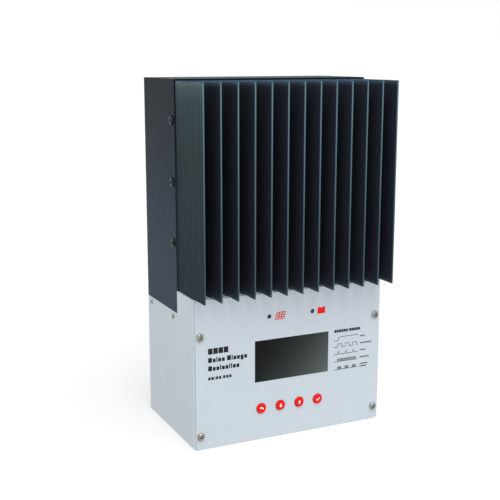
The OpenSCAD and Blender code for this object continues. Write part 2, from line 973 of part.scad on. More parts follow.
rear_chassis();
heat_sink();
lower_housing();
front_cover();
display_lens();
lens_gasket();
cover_screws();
cover_nuts();
sink_screws();
housing_screws();
housing_nuts();
display_board();
display_bezel();
display_cell();
display_backlight();
display_spacers();
display_screws();
status_lamps();
lamp_spacers();
switch_bodies();
button_back();
button_down();
button_up();
button_set();
plunger_back();
plunger_down();
plunger_up();
plunger_set();
display_plug();
ribbon_cable();
board_plug();
power_board();
board_spacers();
board_screws();
transistor_cases();
transistor_leads();
thermal_pads();
clamp_bars();
clamp_screws();
inductor_cores();
inductor_windings();
capacitor_cans();
current_shunts();
aux_transformer();
control_chip();
fuse_bodies();
fuse_holders();
heat_sensor();
terminal_board();
terminal_spacers();
terminal_board_screws();
terminal_block();
terminal_clamps();
terminal_screws();
busbars();
busbar_screws();
signal_terminal();
ground_stud();
ground_nut();
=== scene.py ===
import json
import math

import bmesh
import bpy
from mathutils import Matrix, Quaternion, Vector


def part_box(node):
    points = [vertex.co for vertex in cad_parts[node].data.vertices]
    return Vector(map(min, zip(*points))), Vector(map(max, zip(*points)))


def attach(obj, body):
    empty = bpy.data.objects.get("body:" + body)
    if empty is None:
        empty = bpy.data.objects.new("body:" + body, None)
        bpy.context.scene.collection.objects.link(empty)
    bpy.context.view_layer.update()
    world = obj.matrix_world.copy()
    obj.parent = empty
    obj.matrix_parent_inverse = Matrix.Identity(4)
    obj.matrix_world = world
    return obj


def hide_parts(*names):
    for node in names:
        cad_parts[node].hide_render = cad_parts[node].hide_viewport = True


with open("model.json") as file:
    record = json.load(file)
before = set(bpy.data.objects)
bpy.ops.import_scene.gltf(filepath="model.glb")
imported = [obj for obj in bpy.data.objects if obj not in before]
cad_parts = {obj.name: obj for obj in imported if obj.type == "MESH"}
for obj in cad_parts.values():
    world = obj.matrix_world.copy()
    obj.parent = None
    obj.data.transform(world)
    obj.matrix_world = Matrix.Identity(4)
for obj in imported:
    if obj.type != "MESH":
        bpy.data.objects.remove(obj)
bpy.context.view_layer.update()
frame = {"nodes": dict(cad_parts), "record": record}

# A wall-mounted solar charge controller. The CAD nodes give every place and size; this script
# gives them their surfaces, rounds the sheet metal and builds the ribbed heat sink, the screws,
# the buttons, the lamps and the printing. Lengths are metres unless a name says otherwise.

MM = 0.001
ENCLOSURE = "enclosure"
NODES = frame["nodes"]
SLOTS = {part["node"]: part["material_slot"] for part in frame["record"]["subparts"]}


def low(node):
    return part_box(node)[0]


def high(node):
    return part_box(node)[1]


COVER_FRONT = low("front_cover").y
WALL_Y = high("rear_chassis").y

# ---------------------------------------------------------------- colours and shaders


def shade(red, green, blue):
    """A colour given as it looks on a display, 0 to 255, as the linear value a shader takes."""
    def linear(value):
        value = value / 255
        return value / 12.92 if value <= 0.04045 else ((value + 0.055) / 1.055) ** 2.4
    return (linear(red), linear(green), linear(blue), 1.0)


def surface(name, colour, roughness, metallic=0.0, coat=0.0, gloss=0.5):
    """A new material with one Principled shader; gloss 0.5 is ordinary plastic or paint."""
    material = bpy.data.materials.new(name)
    material.use_nodes = True
    shader = material.node_tree.nodes["Principled BSDF"]
    shader.inputs["Base Color"].default_value = colour
    shader.inputs["Roughness"].default_value = roughness
    shader.inputs["Metallic"].default_value = metallic
    shader.inputs["Coat Weight"].default_value = coat
    shader.inputs["Specular IOR Level"].default_value = gloss
    material.diffuse_color = colour
    return material


def shader_of(material):
    return material.node_tree.nodes["Principled BSDF"]


def add(material, kind, **values):
    """A new shader node; keywords set its own properties."""
    node = material.node_tree.nodes.new(kind)
    for key, value in values.items():
        setattr(node, key, value)
    return node


def join(material, source, target):
    material.node_tree.links.new(source, target)


def place(material, stretch=(1, 1, 1)):
    """The point on the object, in metres, each axis multiplied by stretch."""
    coords = add(material, "ShaderNodeTexCoord")
    mapping = add(material, "ShaderNodeMapping")
    mapping.inputs["Scale"].default_value = stretch
    join(material, coords.outputs["Object"], mapping.inputs["Vector"])
    return mapping.outputs["Vector"]


def noise(material, grain, stretch=(1, 1, 1), detail=3.0):
    """Noise whose features are about grain metres across."""
    texture = add(material, "ShaderNodeTexNoise")
    texture.inputs["Scale"].default_value = 1 / grain
    texture.inputs["Detail"].default_value = detail
    join(material, place(material, stretch), texture.inputs["Vector"])
    return texture.outputs["Fac"]


def along_axis(material, axis, start, end):
    """A factor that is 0 where the object's X, Y or Z is start and 1 where it is end."""
    split = add(material, "ShaderNodeSeparateXYZ")
    join(material, place(material), split.inputs["Vector"])
    spread = add(material, "ShaderNodeMapRange")
    spread.inputs["From Min"].default_value = start
    spread.inputs["From Max"].default_value = end
    join(material, split.outputs[axis], spread.inputs["Value"])
    return spread.outputs["Result"]


def colour_ramp(material, factor, stops):
    """Colours that change with the factor, from (position, colour) pairs."""
    ramp = add(material, "ShaderNodeValToRGB")
    marks = ramp.color_ramp.elements
    while len(marks) < len(stops):
        marks.new(0.5)
    for mark, (position, colour) in zip(marks, stops):
        mark.position = position
        mark.color = colour
    join(material, factor, ramp.inputs["Fac"])
    return ramp.outputs["Color"]


def blend_colour(material, factor, first, second, start=0.35, end=0.65):
    """Base colour running from first to second as factor goes from start to end."""
    colour = colour_ramp(material, factor, ((start, first), (end, second)))
    join(material, colour, shader_of(material).inputs["Base Color"])


def tint_by_height(material, node, stops):
    """Multiplies the base colour by (height, tint) pairs, height running 0 to 1 up a CAD node."""
    lowest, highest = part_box(node)
    tint = colour_ramp(material, along_axis(material, "Z", lowest.z, highest.z), stops)
    mixed = add(material, "ShaderNodeMix", data_type="RGBA", blend_type="MULTIPLY")
    mixed.inputs["Factor"].default_value = 1.0
    first, second = [socket for socket in mixed.inputs if socket.type == "RGBA"]
    result = next(socket for socket in mixed.outputs if socket.type == "RGBA")
    base = shader_of(material).inputs["Base Color"]
    join(material, base.links[0].from_socket, first)
    join(material, tint, second)
    join(material, result, base)


def blend_roughness(material, factor, smooth, rough):
    """Roughness running from smooth to rough over the middle of the factor's range."""
    spread = add(material, "ShaderNodeMapRange")
    spread.inputs["From Min"].default_value = 0.3
    spread.inputs["From Max"].default_value = 0.7
    spread.inputs["To Min"].default_value = smooth
    spread.inputs["To Max"].default_value = rough
    join(material, factor, spread.inputs["Value"])
    join(material, spread.outputs["Result"], shader_of(material).inputs["Roughness"])


def bump(material, factor, height, strength=1.0):
    """Relief of that height in metres."""
    relief = add(material, "ShaderNodeBump")
    relief.inputs["Strength"].default_value = strength
    relief.inputs["Distance"].default_value = height
    join(material, factor, relief.inputs["Height"])
    join(material, relief.outputs["Normal"], shader_of(material).inputs["Normal"])


# ---------------------------------------------------------------- the materials


def powder_coat(name, colour, darker, roughness, gloss):
    """Baked powder paint: faint orange peel and a very slight unevenness of colour."""
    material = surface(name, colour, roughness, gloss=gloss)
    blend_colour(material, noise(material, 0.09), darker, colour)
    blend_roughness(material, noise(material, 0.006), roughness - 0.01, roughness + 0.03)
    bump(material, noise(material, 0.0011, detail=2.0), 0.00002, 0.35)
    return material


def pale_paint():
    return powder_coat("pale_paint", shade(188, 197, 205), shade(185, 194, 202), 0.45, 0.3)


def black_paint():
    """Black powder coat, bluer towards the bottom of the chassis and darker at the top, both a painted
    reflection.
    """
    material = powder_coat("black_paint", shade(47, 58, 74), shade(45, 55, 71), 0.42, 0.04)
    # Painted reflection by height: a bluish reflection low on the chassis, painted shade at the top.
    lower_painted_reflection, upper_painted_shade = (1.0, 1.0, 1.0, 1.0), (0.2, 0.32, 0.3, 1.0)
    tint_by_height(material, "rear_chassis", ((0.5, lower_painted_reflection), (0.92, upper_painted_shade)))
    return material


def anodised(name, colour, lighter, smooth, metallic, gloss):
    """Anodised extrusion: fine drawn lines along the height, slight cloudiness."""
    material = surface(name, colour, smooth, metallic=metallic, gloss=gloss)
    blend_colour(material, noise(material, 0.03, (1, 1, 0.25)), colour, lighter)
    lines = noise(material, 0.0006, (1, 1, 0.01), detail=2.0)
    blend_roughness(material, lines, smooth, smooth + 0.15)
    bump(material, lines, 0.00003, 0.5)
    return material


def anodised_black():
    """The extrusion: deep black, with painted light in blue-green at its ends: a highlight along the top,
    a paler band at the foot.
    """
    material = anodised("anodised_black", shade(60, 84, 101), shade(63, 87, 104), 0.38, 0.0, 0.05)
    deep, painted_top_highlight, painted_foot_light = (0.46, 0.28, 0.28, 1.0), (1.0, 1.0, 1.0, 1.0), (0.9, 0.85, 0.75, 1.0)
    # Painted light: a highlight where light catches the fins' tops, a band of reflected light at their
    # foot.
    tint_by_height(material, "heat_sink", ((0.0, painted_foot_light), (0.02, deep), (0.977, deep), (1.0, painted_top_highlight)))
    return material


def anodised_outside():
    """The outer flanks of the end fins: a separate copy of the fins' anodising, blue-green, with painted
    light paling them towards the upper end.
    """
    material = anodised("anodised_outside", shade(98, 112, 117), shade(102, 117, 122), 0.38, 0.0, 0.05)
    foot, middle, shoulder = (0.06, 0.1, 0.14, 1.0), (0.11, 0.17, 0.18, 1.0), (0.2, 0.28, 0.28, 1.0)
    painted_light_near_top, rim = (0.38, 0.46, 0.46, 1.0), (0.72, 0.76, 0.76, 1.0)
    # Painted light from above: each tint lighter than the one below, brightest at the top rim.
    tint_by_height(material, "heat_sink", (
        (0.0, foot), (0.69, middle), (0.91, shoulder), (0.975, painted_light_near_top), (1.0, rim)))
    return material


def anodised_edge():
    """The fins' front edges, a brighter metallic finish that shows their sheen, with painted light
    brightest near the top and painted shade lower down.
    """
    bright = shade(96, 126, 136)
    material = anodised("anodised_edge", bright, bright, 0.3, 0.8, 0.5)
    painted_shade_low, painted_light_high = (0.4, 0.42, 0.42, 1.0), (1.0, 1.0, 1.0, 1.0)
    # Painted light and shade: the edges darkened low down and left full bright near the top.
    tint_by_height(material, "heat_sink", ((0.0, painted_shade_low), (0.2, painted_shade_low), (0.95, painted_light_high), (1.0, painted_light_high)))
    return material


def turned_metal(name, colour, darker, smooth=0.2, rough=0.42):
    """Plated or bare metal with fine tool marks."""
    material = surface(name, colour, smooth, metallic=1.0)
    blend_colour(material, noise(material, 0.004), darker, colour)
    marks = noise(material, 0.0004, detail=2.0)
    blend_roughness(material, marks, smooth, rough)
    bump(material, marks, 0.00001, 0.4)
    return material


def zinc():
    return turned_metal("zinc_plate", shade(176, 174, 168), shade(132, 130, 125))


def black_steel():
    return turned_metal("black_oxide_steel", shade(62, 66, 70), shade(34, 36, 40), 0.12, 0.3)


def brass():
    return turned_metal("brass", shade(212, 181, 110), shade(186, 152, 84))


def copper():
    return turned_metal("copper", shade(205, 132, 92), shade(170, 98, 66))


def tinned():
    return turned_metal("tinned_metal", shade(205, 206, 204), shade(178, 180, 180))


def moulded(name, colour, darker, roughness, grain=0.0008, height=0.00002, gloss=0.5):
    """Moulded plastic or rubber with a fine spark-eroded grain."""
    material = surface(name, colour, roughness, gloss=gloss)
    blend_colour(material, noise(material, 0.006), darker, colour)
    texture = noise(material, grain, detail=2.0)
    blend_roughness(material, texture, roughness - 0.05, roughness + 0.08)
    bump(material, texture, height, 0.4)
    return material


def smoked_glass():
    """The display window: near black, with a painted reflection paling it to grey towards its lower right
    corner.
    """
    material = surface("smoked_glass", shade(34, 42, 43), 0.1, gloss=0.12)
    downward_share, falloff = 0.31, 2.5
    lowest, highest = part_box("display_lens")
    both = add(material, "ShaderNodeMix")
    both.inputs["Factor"].default_value = downward_share
    join(material, along_axis(material, "X", lowest.x, highest.x), both.inputs["A"])
    join(material, along_axis(material, "Z", highest.z, lowest.z), both.inputs["B"])
    # Painted reflection: the window pales towards its lower right corner.
    painted_reflection = add(material, "ShaderNodeMath", operation="POWER")
    painted_reflection.inputs[1].default_value = falloff
    join(material, both.outputs["Result"], painted_reflection.inputs[0])
    blend_colour(material, painted_reflection.outputs["Value"], shade(3, 8, 8), shade(92, 99, 98), 0.0, 1.0)
    return material


def ink(name, colour, darker):
    """Screen-printing ink, slightly uneven."""
    material = surface(name, colour, 0.55, gloss=0.2)
    blend_colour(material, noise(material, 0.0015), darker, colour)
    bump(material, noise(material, 0.0003), 0.000005, 0.3)
    return material


def circuit_board():
    """Green solder resist over straight copper tracks."""
    material = surface("circuit_board", shade(18, 92, 54), 0.32, coat=0.3)
    tracks = add(material, "ShaderNodeTexBrick")
    tracks.inputs["Scale"].default_value = 1.0
    tracks.inputs["Brick Width"].default_value = 0.011
    tracks.inputs["Row Height"].default_value = 0.0023
    tracks.inputs["Mortar Size"].default_value = 0.00035
    tracks.inputs["Color1"].default_value = shade(12, 74, 42)
    tracks.inputs["Color2"].default_value = shade(16, 86, 50)
    tracks.inputs["Mortar"].default_value = shade(46, 130, 78)
    turn = add(material, "ShaderNodeMapping")
    turn.inputs["Rotation"].default_value = (math.radians(90), 0, 0)
    coords = add(material, "ShaderNodeTexCoord")
    join(material, coords.outputs["Object"], turn.inputs["Vector"])
    join(material, turn.outputs["Vector"], tracks.inputs["Vector"])
    join(material, tracks.outputs["Color"], shader_of(material).inputs["Base Color"])
    bump(material, tracks.outputs["Fac"], 0.00003, 0.5)
    return material


def slot_materials():
    """One material for each of the record's slots."""
    black = moulded("black_moulding", shade(34, 35, 37), shade(27, 28, 30), 0.45)
    return {
        "chassis_black": black_paint(),
        "sink_anodised": anodised_black(),
        "housing_pale": pale_paint(),
        "lens_smoked": smoked_glass(),
        "foam": moulded("foam", shade(30, 30, 31), shade(22, 22, 23), 0.9, 0.0005, 0.0001),
        "zinc_steel": zinc(),
        "black_steel": black_steel(),
        "circuit_board": circuit_board(),
        "lcd_film": moulded("lcd_film", shade(120, 132, 118), shade(112, 124, 110), 0.25),
        "diffuser": moulded("diffuser", shade(232, 235, 232), shade(224, 228, 224), 0.6),
        "brass": brass(),
        "lamp_dark": moulded("lamp_lens", shade(36, 38, 46), shade(28, 30, 36), 0.12),
        "nylon": moulded("nylon", shade(228, 227, 220), shade(218, 216, 208), 0.5),
        "black_plastic": black,
        "button_red": moulded("button_red", shade(224, 9, 6), shade(215, 8, 5), 0.35, gloss=0.2),
        "ribbon_grey": moulded("ribbon", shade(150, 152, 156), shade(138, 140, 145), 0.5),
        "tinned_metal": tinned(),
        "pad_grey": moulded("thermal_pad", shade(142, 152, 164), shade(132, 142, 154), 0.8),
        "ferrite": moulded("ferrite", shade(78, 80, 72), shade(66, 68, 60), 0.7, 0.0006, 0.00005),
        "copper": copper(),
        "sleeve_blue": moulded("capacitor_sleeve", shade(40, 48, 92), shade(34, 41, 80), 0.28),
        "fuse_amber": moulded("fuse_plastic", shade(226, 148, 40), shade(214, 136, 32), 0.25),
        "plug_green": moulded("terminal_green", shade(36, 122, 66), shade(30, 108, 58), 0.45),
    }


MATERIALS = slot_materials()
FIN_EDGE = anodised_edge()
FIN_OUTSIDE = anodised_outside()
PRINT_BLACK = ink("print_black", shade(16, 18, 24), shade(26, 28, 34))
PRINT_RED = ink("print_red", shade(224, 8, 8), shade(216, 14, 12))
PRINT_WHITE = ink("print_white", shade(248, 246, 244), shade(240, 236, 234))


def paint_cad_nodes():
    for name, node in NODES.items():
        node.data.materials.clear()
        node.data.materials.append(MATERIALS[SLOTS[name]])


# ---------------------------------------------------------------- mesh building


def new_object(name, data):
    """An object linked to the scene."""
    thing = bpy.data.objects.new(name, data)
    bpy.context.scene.collection.objects.link(thing)
    return thing


def add_piece(name, mesh, material, body=ENCLOSURE, replaced=(), placed=None):
    """A new piece riding on a body and standing for the CAD nodes named."""
    piece = new_object(name, mesh)
    if placed:
        piece.matrix_world = placed
    mesh.materials.clear()
    mesh.materials.append(material)
    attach(piece, body)
    if replaced:
        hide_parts(*replaced)
    return piece


def mesh_from(name, bm):
    bmesh.ops.recalc_face_normals(bm, faces=bm.faces)
    mesh = bpy.data.meshes.new(name)
    bm.to_mesh(mesh)
    bm.free()
    return mesh


def smooth(mesh, angle=32):
    """Smooth shading, kept sharp where faces meet at more than angle degrees."""
    mesh.shade_smooth()
    mesh.set_sharp_from_angle(angle=math.radians(angle))


def bake(piece):
    """Applies the piece's modifiers."""
    graph = bpy.context.evaluated_depsgraph_get()
    mesh = bpy.data.meshes.new_from_object(piece.evaluated_get(graph))
    piece.modifiers.clear()
    piece.data = mesh
    return piece


def cleaned_copy(node):
    """A bmesh of a CAD node with its flat faces made whole."""
    bm = bmesh.new()
    bm.from_mesh(NODES[node].data)
    bmesh.ops.remove_doubles(bm, verts=bm.verts, dist=0.002 * MM)
    bmesh.ops.dissolve_limit(bm, angle_limit=math.radians(0.4), verts=bm.verts, edges=bm.edges)
    return bm


def soften(node, width, wide_edges=None, wide_ratio=1.0, reshape=None):
    """The CAD node again with rounded edges; wide_edges picks those rounded to the full width."""
    bm = cleaned_copy(node)
    if reshape:
        reshape(bm)
    weight = bm.edges.layers.float.new("bevel_weight_edge")
    for edge in bm.edges:
        sharp = len(edge.link_faces) == 2 and edge.calc_face_angle(0.0) > math.radians(35)
        if sharp:
            wide = wide_edges is not None and wide_edges(edge)
            edge[weight] = 1.0 if wide else 1.0 / wide_ratio
    mesh = mesh_from(node + "_soft", bm)
    slot = SLOTS[node]
    piece = add_piece(node + "_sheet", mesh, MATERIALS[slot], replaced=(node,))
    bevel = piece.modifiers.new("rounded", "BEVEL")
    bevel.limit_method = "WEIGHT"
    bevel.width = width
    bevel.segments = 3
    bake(piece)
    smooth(piece.data)
    even_shading(piece)
    return piece


def even_shading(piece):
    """Lets the large flat faces decide the shading at their rounded edges."""
    weighted = piece.modifiers.new("even", "WEIGHTED_NORMAL")
    weighted.keep_sharp = True
    bake(piece)


def prism(bm, outline, y_front, y_back):
    """A flat shape in the X-Z plane, given thickness along Y."""
    front = [bm.verts.new((x, y_front, z)) for x, z in outline]
    back = [bm.verts.new((x, y_back, z)) for x, z in outline]
    bm.faces.new(front)
    bm.faces.new(list(reversed(back)))
    count = len(outline)
    for i in range(count):
        j = (i + 1) % count
        bm.faces.new((front[i], back[i], back[j], front[j]))


def lathe(profile, segments=48):
    """A bmesh turned about the local Z from (radius, height) points, first and last on the axis."""
    bm = bmesh.new()
    rings = []
    for radius, height in profile:
        if radius < 1e-9:
            rings.append([bm.verts.new((0, 0, height))])
            continue
        angles = [2 * math.pi * i / segments for i in range(segments)]
        circle = [(radius * math.cos(a), radius * math.sin(a), height) for a in angles]
        rings.append([bm.verts.new(point) for point in circle])
    for lower, upper in zip(rings, rings[1:]):
        for i in range(segments):
            j = (i + 1) % segments
            corners = [ring[k % len(ring)] for ring, k in ((lower, i), (lower, j), (upper, j), (upper, i))]
            bm.faces.new(list(dict.fromkeys(corners)))
    return bm


def loft(levels):
    """A closed bmesh through outlines with equally many points, each level given as (points, z)."""
    bm = bmesh.new()
    rings = [[bm.verts.new((x, y, z)) for x, y in points] for points, z in levels]
    for lower, upper in zip(rings, rings[1:]):
        for i in range(len(lower)):
            j = (i + 1) % len(lower)
            bm.faces.new((lower[i], lower[j], upper[j], upper[i]))
    bm.faces.new(list(reversed(rings[0])))
    bm.faces.new(rings[-1])
    return bm


def stand_forward(bm, x, rear_y, z):
    """Turns a lathed form so that its axis runs forward, towards -Y, from that point."""
    placed = Matrix.Translation((x, rear_y, z)) @ Matrix.Rotation(math.radians(90), 4, "X")
    bmesh.ops.transform(bm, matrix=placed, verts=bm.verts)


def arc(centre, radius, start, end, steps):
    """Points round a circle, angles in degrees."""
    angles = [math.radians(start + (end - start) * i / steps) for i in range(steps + 1)]
    return [(centre[0] + radius * math.cos(a), centre[1] + radius * math.sin(a)) for a in angles]


# ---------------------------------------------------------------- heat sink

FIN_COUNT = 13
FIN_TIP = 1.9 * MM
FIN_ROOT = 2.2 * MM
RIBS = 12
RIB_STEPS = 6
RIB_DEPTH = 0.42 * MM
END_CHAMFER = 0.25 * MM
FIN_NOSE = 0.3 * MM


def fin_flank(root_y, tip_y):
    """One side of a fin from root to tip: round-backed ribs with sharp valleys, as half thicknesses."""
    points = []
    steps = RIBS * RIB_STEPS
    for i in range(steps + 1):
        along = i / steps
        half = (FIN_ROOT + (FIN_TIP - FIN_ROOT) * along) / 2
        valley = RIB_DEPTH * (1 - math.sin(math.pi * (i % RIB_STEPS) / RIB_STEPS) ** 0.5)
        points.append((half - valley, root_y + (tip_y - root_y) * along))
    return points


def sink_outline(base_rear, base_front, base_half, tip_y, first_x, pitch):
    """The extrusion's section in plan, from its rear left corner round by the fins."""
    outline = [(-base_half, base_rear), (-base_half, base_front)]
    flank = fin_flank(base_front, tip_y + FIN_NOSE)
    nose_half = FIN_TIP / 2 - FIN_NOSE
    for i in range(FIN_COUNT):
        x = first_x + i * pitch
        left = [(x - half, y) for half, y in flank]
        right = [(x + half, y) for half, y in reversed(flank)]
        nose = [(x - nose_half, tip_y), (x + nose_half, tip_y)]
        outline += left + nose + right
    outline += [(base_half, base_front), (base_half, base_rear)]
    return [p for p, q in zip(outline, outline[1:] + outline[:1]) if math.dist(p, q) > 0.01 * MM]


def shrunk(outline, amount):
    """The closed outline moved inwards; it runs with its inside on the left."""
    result = []
    for before, here, after in zip(outline[-1:] + outline[:-1], outline, outline[1:] + outline[:1]):
        normal = Vector((0.0, 0.0))
        for a, b in ((before, here), (here, after)):
            edge = Vector((b[0] - a[0], b[1] - a[1])).normalized()
            normal += Vector((-edge.y, edge.x))
        normal = normal / max(normal.length, 0.5)
        result.append((here[0] + normal.x * amount, here[1] + normal.y * amount))
    return result


def heat_sink():
    lowest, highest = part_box("heat_sink")
    base_rear = highest.y
    base_front = low("rear_chassis").y
    base_half = high("front_cover").x
    first_x = lowest.x + FIN_ROOT / 2
    pitch = (highest.x - lowest.x - FIN_ROOT) / (FIN_COUNT - 1)
    outline = sink_outline(base_rear, base_front, base_half, lowest.y, first_x, pitch)
    inner = shrunk(outline, END_CHAMFER)
    levels = [(inner, lowest.z), (outline, lowest.z + END_CHAMFER),
              (outline, highest.z - END_CHAMFER), (inner, highest.z)]
    mesh = mesh_from("heat_sink_extrusion", loft(levels))
    piece = add_piece("heat_sink_extrusion", mesh, MATERIALS["sink_anodised"],
                      replaced=("heat_sink",))
    cut_notch(piece, lowest, highest)
    smooth(piece.data, 40)
    finish_fins(piece.data, lowest, highest)


def finish_fins(mesh, lowest, highest):
    """Gives the fins' front edges and the end fins' outer flanks their own materials, which carry painted
    light.
    """
    mesh.materials.append(FIN_EDGE)
    mesh.materials.append(FIN_OUTSIDE)
    for face in mesh.polygons:
        on_left = face.center.x < lowest.x + FIN_ROOT / 2 and face.normal.x < -0.2
        on_right = face.center.x > highest.x - FIN_ROOT / 2 and face.normal.x > 0.2
        if abs(face.normal.z) > 0.5:
            continue
        if face.center.y < lowest.y + FIN_NOSE:
            face.material_index = 1
        elif on_left or on_right:
            face.material_index = 2


def cut_notch(piece, lowest, highest):
    """The shallow notch in the first fin's upper edge."""
    start, length, bite = 92 * MM, 20 * MM, 1.2 * MM
    width = 2 * FIN_ROOT
    bm = bmesh.new()
    bmesh.ops.create_cube(bm, size=1)
    scale = Matrix.Diagonal((2 * width, length, 2 * bite, 1))
    centre = Vector((lowest.x, WALL_Y - start - length / 2, highest.z))
    bmesh.ops.transform(bm, matrix=Matrix.Translation(centre) @ scale, verts=bm.verts)
    cut_away(piece, mesh_from("notch_cutter", bm))


def cut_away(piece, cutter_mesh):
    """Takes a cutter's volume out of the piece."""
    cutter = new_object(cutter_mesh.name, cutter_mesh)
    cutter.matrix_world = piece.matrix_world
    cut = piece.modifiers.new("cut", "BOOLEAN")
    cut.operation = "DIFFERENCE"
    cut.solver = "EXACT"
    cut.object = cutter
    bake(piece)
    bpy.data.objects.remove(cutter)


# ---------------------------------------------------------------- sheet metal


# The side knockouts: their centre's distance from the wall and height, and their sheared rings.
KNOCKOUT_DEPTH = 34 * MM
KNOCKOUT_Z = 57.5 * MM
KNOCKOUT_RADII = (22 * MM, 14.3 * MM)
RING_DEPTH = 0.5 * MM
RING_WIDTH = 0.9 * MM
CLOSE = 0.1 * MM


def fill_knockout_rings(bm):
    """Turns the side knockouts' sheared rings into soft furrows, as paint half fills them."""
    side_x = high("lower_housing").x
    centre = Vector((WALL_Y - KNOCKOUT_DEPTH, KNOCKOUT_Z))
    furrow, flat_half = 0.24 * MM, 0.1 * MM
    for vert in bm.verts:
        if abs(abs(vert.co.x) - side_x + RING_DEPTH) > CLOSE / 2:
            continue
        spoke = vert.co.yz - centre
        for outer in KNOCKOUT_RADII:
            middle = outer - RING_WIDTH / 2
            if abs(spoke.length - middle) < RING_WIDTH / 2 + CLOSE:
                shift = math.copysign(flat_half, spoke.length - middle)
                y, z = centre + spoke.normalized() * (middle + shift)
                vert.co = (math.copysign(side_x - furrow, vert.co.x), y, z)
                break


def front_bends():
    """A test that picks the housing's two long upright front bends."""
    bend_y = low("lower_housing").y
    side_x = high("lower_housing").x
    shortest = 20 * MM

    def picked(edge):
        ends = [vert.co for vert in edge.verts]
        upright = abs(ends[0].z - ends[1].z) > shortest
        at_side = all(abs(abs(p.x) - side_x) < CLOSE for p in ends)
        return upright and at_side and all(abs(p.y - bend_y) < CLOSE for p in ends)
    return picked


def front_rim():
    """A test that picks the edges round the front of the cover plate."""
    lowest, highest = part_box("front_cover")
    corner_inset = 1.6 * MM

    def picked(edge):
        ends = [vert.co for vert in edge.verts]
        insets = [min(p.x - lowest.x, highest.x - p.x, p.z - lowest.z, highest.z - p.z) for p in ends]
        return max(insets) < corner_inset and all(p.y < lowest.y + CLOSE for p in ends)
    return picked


def sheet_metal():
    soften("rear_chassis", 0.35 * MM)
    soften("lower_housing", 1.2 * MM, front_bends(), 4.0, fill_knockout_rings)
    soften("front_cover", 1.0 * MM, front_rim(), 4.0)
    soften("display_lens", 0.25 * MM)


# ---------------------------------------------------------------- screws


def screw_head_mesh(name, radius, height):
    """A domed pan head on a plain underside with a tapered cross recess, opening along +Z."""
    rim = height * 0.42
    crown = [(radius * math.sin(math.radians(a)), rim + (height - rim) * math.cos(math.radians(a)))
             for a in range(80, -1, -10)]
    profile = [(0, 0), (radius * 0.96, 0), (radius, 0.12 * MM), (radius, rim)] + crown
    head = new_object("head", mesh_from("head", lathe(profile)))
    cut_away(head, cross_cutter(radius, height))
    mesh = head.data
    mesh.name = name
    bpy.data.objects.remove(head)
    smooth(mesh, 35)
    return mesh


def cross_cutter(radius, height):
    """A cross with sloping ends, narrower at its bottom."""
    top, bottom = height + 0.2 * MM, height * 0.3
    arm, half = radius * 0.62, radius * 0.14
    levels = []
    for z, reach, thick in ((bottom, arm * 0.5, half * 0.7), (top, arm, half)):
        quarter = [(reach, -thick), (reach, thick), (thick, thick)]
        levels.append(([spun(point, 90 * turn) for turn in range(4) for point in quarter], z))
    return mesh_from("cross", loft(levels))


def spun(point, degrees):
    """The point turned about the origin."""
    angle = math.radians(degrees)
    x, y = point
    return x * math.cos(angle) - y * math.sin(angle), x * math.sin(angle) + y * math.cos(angle)


def place_screw(name, node, mesh, seat, outward, turn):
    """One of a CAD node's screw heads, standing on seat, its cross turned by that many degrees."""
    facing = Vector(outward).to_track_quat("Z", "Y").to_matrix().to_4x4()
    placed = Matrix.Translation(seat) @ facing @ Matrix.Rotation(math.radians(turn), 4, "Z")
    slot = SLOTS[node]
    add_piece(name, mesh, MATERIALS[slot], replaced=(node,), placed=placed)


def loose_parts(node):
    """The centre and the lowest and highest corners of each loose part of a CAD node."""
    bm = bmesh.new()
    bm.from_mesh(NODES[node].data)
    bmesh.ops.remove_doubles(bm, verts=bm.verts, dist=0.002 * MM)
    left, found = set(bm.verts), []
    while left:
        part, frontier = set(), [left.pop()]
        while frontier:
            vert = frontier.pop()
            part.add(vert)
            near = [edge.other_vert(vert) for edge in vert.link_edges]
            frontier += [v for v in near if v in left]
            left.difference_update(near)
        lowest = Vector(min(v.co[i] for v in part) for i in range(3))
        highest = Vector(max(v.co[i] for v in part) for i in range(3))
        found.append(((lowest + highest) / 2, lowest, highest))
    bm.free()
    return sorted(found, key=lambda part: tuple(round(value, 4) for value in part[0]))


def cover_screws(radius, height):
    mesh = screw_head_mesh("cover_screw_head", radius, height)
    turns = (18, 62, 35, 80)
    for number, (centre, _, _) in enumerate(loose_parts("cover_screws")):
        seat = (centre.x, COVER_FRONT, centre.z)
        place_screw(f"cover_screw_{number + 1}", "cover_screws", mesh, seat, (0, -1, 0), turns[number])


def side_screws(node, radius, height):
    mesh = screw_head_mesh(node + "_head", radius, height)
    turn_each = 25
    for number, (centre, _, _) in enumerate(loose_parts(node)):
        side = 1 if centre.x > 0 else -1
        seat = (side * high("rear_chassis").x, centre.y, centre.z)
        place_screw(f"{node}_{number + 1}", node, mesh, seat, (side, 0, 0), turn_each * number)


def screws():
    cover_screws(3.5 * MM, 2.4 * MM)
    side_screws("sink_screws", 3.9 * MM, 2.4 * MM)
    side_screws("housing_screws", 2.4 * MM, 1.2 * MM)


# ---------------------------------------------------------------- printing


class Printing:
    """Flat shapes printed on a face that looks along -Y, drawn in millimetres from the origin (x, z)."""

    def __init__(self, face_y, origin=(0.0, 0.0)):
        ink_thickness, clear_of_face = 0.05 * MM, 0.002 * MM
        self.front = face_y - ink_thickness
        self.back = face_y - clear_of_face
        self.origin = origin
        self.bm = bmesh.new()

    def shape(self, outline):
        """A filled outline."""
        points = [(self.origin[0] + x * MM, self.origin[1] + z * MM) for x, z in outline]
        prism(self.bm, points, self.front, self.back)

    def bar(self, left, bottom, width, height):
        """An upright rectangle."""
        right, top = left + width, bottom + height
        self.shape([(left, bottom), (right, bottom), (right, top), (left, top)])

    def line(self, points, width):
        """An open line of that width with mitred corners."""
        self.shape(ribbon(points, width))

    def piece(self, name, material, slot, body=ENCLOSURE):
        """Makes everything drawn so far one piece."""
        add_piece(name, mesh_from(name, self.bm), material, body=body)


